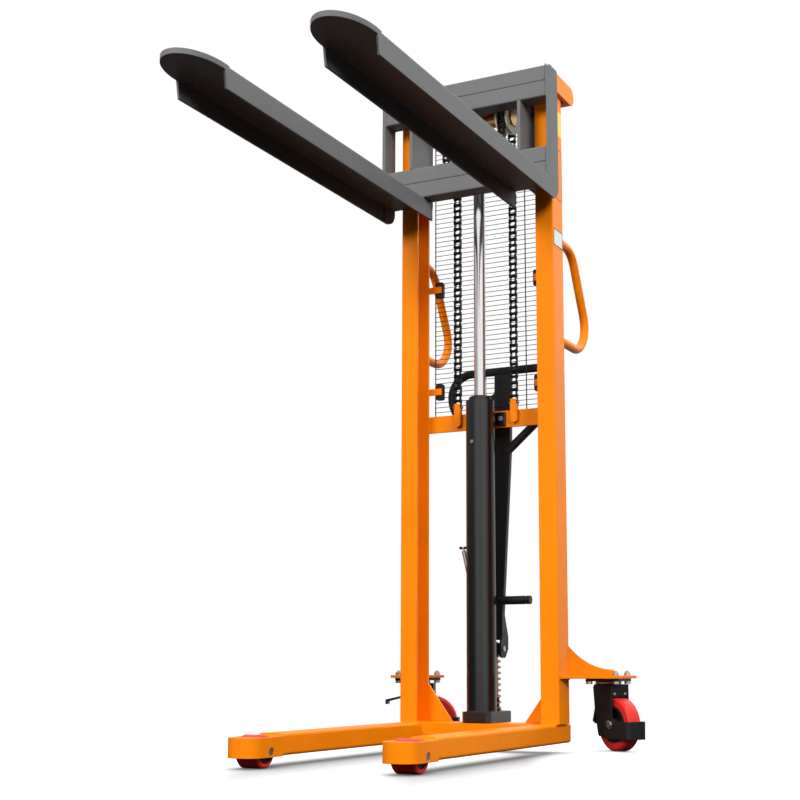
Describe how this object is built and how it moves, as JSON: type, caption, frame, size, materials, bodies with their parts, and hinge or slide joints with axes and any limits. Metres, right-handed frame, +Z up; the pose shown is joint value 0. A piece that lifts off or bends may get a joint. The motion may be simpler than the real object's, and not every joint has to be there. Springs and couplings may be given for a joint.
{
  "type": "hand pallet stacker",
  "caption": "Hand pallet stacker: channel mast on rolling legs, chain-lifted fork carriage, hydraulic lift cylinder with pump lever, push handles, wire guard and swivel casters.",
  "frame": {"origin": "on the floor under the middle of the outline", "axes": "+Z up, forks point to -Y, +X to the right seen from the fork tips"},
  "size_m": [0.8444, 1.5383, 1.986],
  "materials": {
    "orange_paint": "gloss orange powder coat",
    "carriage_paint": "satin dark grey paint",
    "black_paint": "semi-gloss black paint",
    "black_plastic": "moulded black",
    "red_polyurethane": "smooth red polyurethane",
    "chromed_rod": "hard chrome",
    "zinc_steel": "bright zinc plate",
    "yellow_zinc": "yellow zinc plate",
    "pulley_nylon": "natural nylon",
    "chain_steel": "oiled black steel",
    "roller_steel": "turned steel"
  },
  "bodies": {
    "frame": {"mast_cap": "orange_paint", "mast_crossbar": "orange_paint", "leg_noses": "orange_paint", "base_crossmember": "orange_paint", "frame_gussets": "orange_paint", "caster_brackets": "orange_paint", "guard_screen": "black_paint", "guard_clips": "orange_paint", "guard_pads": "black_plastic", "pump_block": "black_paint", "tank_tube": "black_paint", "cylinder_barrel": "zinc_steel", "gland_cap": "black_paint", "tube_saddle": "black_paint", "fixed_axles": "zinc_steel", "caster_plates": "black_paint", "frame_fasteners": "zinc_steel", "pump_spring": "yellow_zinc", "chain_anchor_runs": "chain_steel", "left_mast_post": "orange_paint", "right_mast_post": "orange_paint", "left_leg": "orange_paint", "right_leg": "orange_paint", "left_push_handle": "orange_paint", "right_push_handle": "orange_paint"},
    "piston": {"piston_rod": "chromed_rod", "crosshead": "yellow_zinc", "chain_wraps": "chain_steel"},
    "carriage": {"top_beam": "carriage_paint", "lower_beam": "carriage_paint", "side_plates": "carriage_paint", "inner_plates": "carriage_paint", "chain_carriage_runs": "chain_steel", "left_fork": "carriage_paint", "right_fork": "carriage_paint"},
    "pump_lever": {"lever_arm": "black_paint", "lever_loop": "black_paint", "foot_pedal": "black_paint"},
    "pump_plunger": {"plunger": "zinc_steel"},
    "release": {"release_lever": "zinc_steel"},
    "left_pulley": {"left_chain_pulley": "pulley_nylon"},
    "left_low_roller": {"left_low_roller": "roller_steel"},
    "left_high_roller": {"left_high_roller": "roller_steel"},
    "left_load_wheel": {"left_load_tyre": "red_polyurethane", "left_load_hub": "black_plastic"},
    "left_caster": {"left_caster_fork": "black_paint", "left_caster_axle": "zinc_steel"},
    "left_caster_wheel": {"left_caster_tyre": "red_polyurethane", "left_caster_hub": "black_plastic"},
    "left_brake": {"left_brake_pedal": "black_paint"},
    "right_pulley": {"right_chain_pulley": "pulley_nylon"},
    "right_low_roller": {"right_low_roller": "roller_steel"},
    "right_high_roller": {"right_high_roller": "roller_steel"},
    "right_load_wheel": {"right_load_tyre": "red_polyurethane", "right_load_hub": "black_plastic"},
    "right_caster": {"right_caster_fork": "black_paint", "right_caster_axle": "zinc_steel"},
    "right_caster_wheel": {"right_caster_tyre": "red_polyurethane", "right_caster_hub": "black_plastic"},
    "right_brake": {"right_brake_pedal": "black_paint"}
  },
  "joints": [
    {"name": "piston_lift", "type": "slide", "parent": "frame", "child": "piston", "axis": [0, 0, 1], "range_m": [-0.771, 0], "deforming": ["chain_anchor_runs"]},
    {"name": "carriage_lift", "type": "slide", "parent": "piston", "child": "carriage", "axis": [0, 0, 1], "range_m": [-0.771, 0], "deforming": ["chain_carriage_runs"]},
    {"name": "pump_stroke", "type": "hinge", "parent": "frame", "child": "pump_lever", "pos_m": [0, 0.564, 0.29], "axis": [-1, 0, 0], "range_deg": [0, 55], "stiffness_Nm_per_rad": 40, "springref_deg": -20.05},
    {"name": "plunger_stroke", "type": "slide", "parent": "frame", "child": "pump_plunger", "axis": [0, 0, 1], "range_m": [-0.024, 0], "deforming": ["pump_spring"]},
    {"name": "release_pull", "type": "hinge", "parent": "frame", "child": "release", "pos_m": [-0.036, 0.55, 0.124], "axis": [0, -1, 0], "range_deg": [0, 8], "stiffness_Nm_per_rad": 6, "springref_deg": -11.46},
    {"name": "left_pulley_turn", "type": "hinge", "parent": "piston", "child": "left_pulley", "pos_m": [-0.092, 0.494, 1.878], "axis": [1, 0, 0], "continuous": true},
    {"name": "left_low_roller_turn", "type": "hinge", "parent": "carriage", "child": "left_low_roller", "pos_m": [-0.218, 0.504, 1.69], "axis": [1, 0, 0], "continuous": true},
    {"name": "left_high_roller_turn", "type": "hinge", "parent": "carriage", "child": "left_high_roller", "pos_m": [-0.218, 0.504, 1.875], "axis": [1, 0, 0], "continuous": true},
    {"name": "left_load_wheel_turn", "type": "hinge", "parent": "frame", "child": "left_load_wheel", "pos_m": [-0.2075, -0.349, 0.0395], "axis": [1, 0, 0], "continuous": true},
    {"name": "left_caster_swivel", "type": "hinge", "parent": "frame", "child": "left_caster", "pos_m": [-0.311, 0.699, 0.19], "axis": [0, 0, 1], "continuous": true},
    {"name": "left_caster_wheel_turn", "type": "hinge", "parent": "left_caster", "child": "left_caster_wheel", "pos_m": [-0.26777, 0.71473, 0.075], "axis": [-0.342, 0.9397, 0], "continuous": true},
    {"name": "left_brake_press", "type": "hinge", "parent": "left_caster", "child": "left_brake", "pos_m": [-0.33355, 0.69079, 0.1557], "axis": [0.342, -0.9397, 0], "range_deg": [0, 60]},
    {"name": "right_pulley_turn", "type": "hinge", "parent": "piston", "child": "right_pulley", "pos_m": [0.092, 0.494, 1.878], "axis": [1, 0, 0], "continuous": true},
    {"name": "right_low_roller_turn", "type": "hinge", "parent": "carriage", "child": "right_low_roller", "pos_m": [0.218, 0.504, 1.69], "axis": [1, 0, 0], "continuous": true},
    {"name": "right_high_roller_turn", "type": "hinge", "parent": "carriage", "child": "right_high_roller", "pos_m": [0.218, 0.504, 1.875], "axis": [1, 0, 0], "continuous": true},
    {"name": "right_load_wheel_turn", "type": "hinge", "parent": "frame", "child": "right_load_wheel", "pos_m": [0.2075, -0.349, 0.0395], "axis": [1, 0, 0], "continuous": true},
    {"name": "right_caster_swivel", "type": "hinge", "parent": "frame", "child": "right_caster", "pos_m": [0.311, 0.699, 0.19], "axis": [0, 0, 1], "continuous": true},
    {"name": "right_caster_wheel_turn", "type": "hinge", "parent": "right_caster", "child": "right_caster_wheel", "pos_m": [0.34958, 0.67395, 0.075], "axis": [0.5446, 0.8387, 0], "continuous": true},
    {"name": "right_brake_press", "type": "hinge", "parent": "right_caster", "child": "right_brake", "pos_m": [0.29087, 0.71207, 0.1557], "axis": [-0.5446, -0.8387, 0], "range_deg": [-60, 0]}
  ],
  "couplings": [
    {"joint": "carriage_lift", "follows": "piston_lift", "ratio": 1},
    {"joint": "plunger_stroke", "follows": "pump_stroke", "m_per_rad": -0.0246},
    {"joint": "left_pulley_turn", "follows": "piston_lift", "rad_per_m": -25.641},
    {"joint": "left_low_roller_turn", "follows": "piston_lift", "rad_per_m": -61.162},
    {"joint": "left_high_roller_turn", "follows": "piston_lift", "rad_per_m": 61.162},
    {"joint": "right_pulley_turn", "follows": "piston_lift", "rad_per_m": -25.641},
    {"joint": "right_low_roller_turn", "follows": "piston_lift", "rad_per_m": -61.162},
    {"joint": "right_high_roller_turn", "follows": "piston_lift", "rad_per_m": 61.162}
  ]
}
